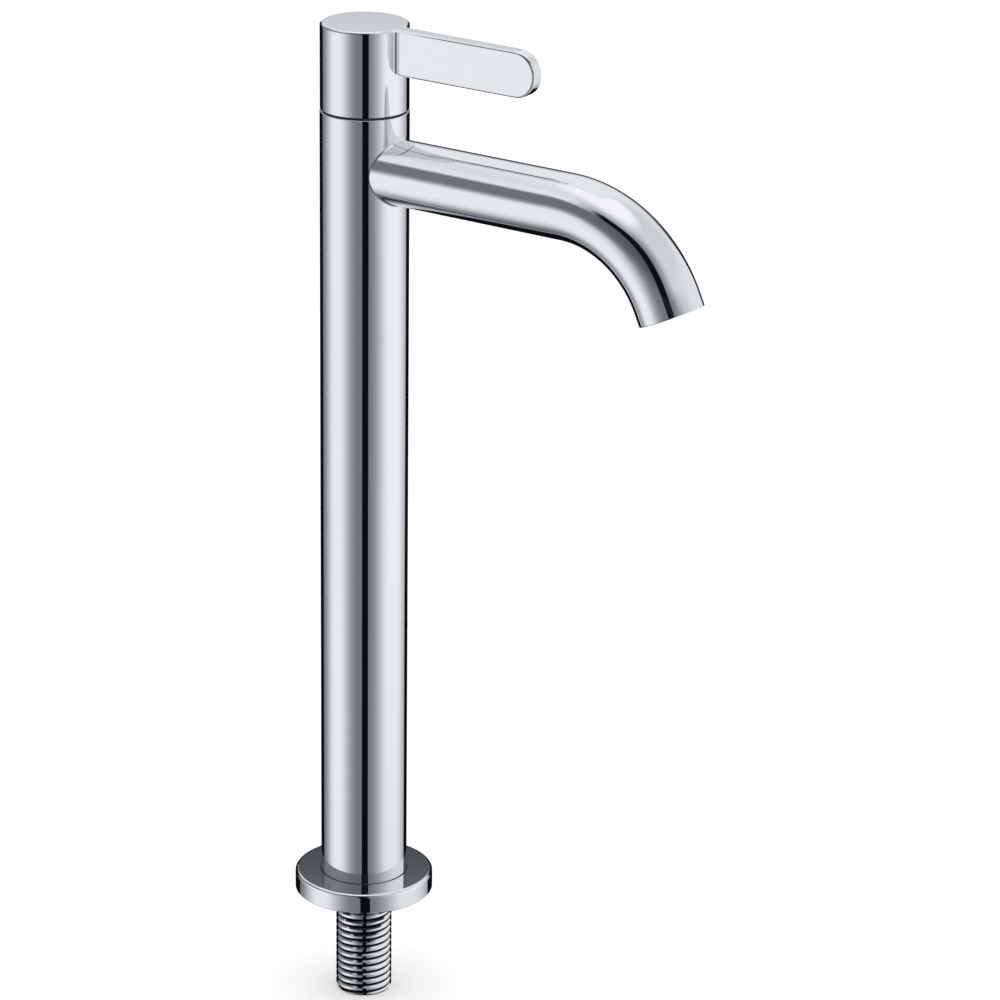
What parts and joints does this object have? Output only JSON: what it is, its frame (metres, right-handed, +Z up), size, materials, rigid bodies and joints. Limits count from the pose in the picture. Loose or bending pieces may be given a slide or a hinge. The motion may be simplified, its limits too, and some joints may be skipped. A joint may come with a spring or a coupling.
{
  "type": "pillar tap",
  "caption": "Tall chromed pillar tap: tube column on a round flange, flat side lever, tubular spout bent down at its end, and a threaded tail below.",
  "frame": {"origin": "centre of the base flange's underside, where the threaded tail leaves it and the tap meets the deck", "axes": "+Z up along the column, -Z along the threaded tail; the spout and the closed lever point to -Y"},
  "size_m": [0.0516, 0.1671, 0.3752],
  "materials": {
    "chrome_plate": "bright chrome plating on polished brass",
    "plated_thread": "bright nickel-chrome plating on a cut brass thread",
    "brass": "turned, unpolished brass",
    "copper_tube": "drawn copper tube",
    "stainless_steel": "plain stainless steel",
    "nbr_rubber": "black moulded rubber",
    "alumina_ceramic": "lapped alumina ceramic",
    "acetal": "moulded white acetal",
    "grey_acetal": "moulded grey acetal"
  },
  "bodies": {
    "tap_body": {"column_tube": "chrome_plate", "base_flange": "chrome_plate", "flange_gasket": "nbr_rubber", "threaded_shank": "plated_thread", "shank_washer": "nbr_rubber", "base_connector": "brass", "seat_carrier": "brass", "riser_tube": "copper_tube", "riser_o_rings": "nbr_rubber", "top_bush": "brass", "handle_glide_ring": "grey_acetal", "spout_tube": "chrome_plate", "outlet_bush": "chrome_plate", "aerator_cage": "grey_acetal", "aerator_honeycomb": "acetal", "aerator_diffuser": "acetal", "aerator_filter": "stainless_steel", "aerator_washer": "nbr_rubber", "headwork_body": "brass", "headwork_o_ring": "nbr_rubber", "seat_seal": "nbr_rubber", "lower_ceramic_disc": "alumina_ceramic", "thrust_washer": "acetal"},
    "turning_handle": {"handle": "chrome_plate", "handle_grub_screw": "stainless_steel", "screw_plug": "grey_acetal", "spindle": "brass", "spindle_o_rings": "nbr_rubber", "spindle_clip": "stainless_steel", "upper_ceramic_disc": "alumina_ceramic"}
  },
  "joints": [
    {"name": "handle_turn", "type": "hinge", "parent": "tap_body", "child": "turning_handle", "pos_m": [0, 0, 0.3019], "axis": [0, 0, 1], "range_deg": [0, 90]}
  ]
}
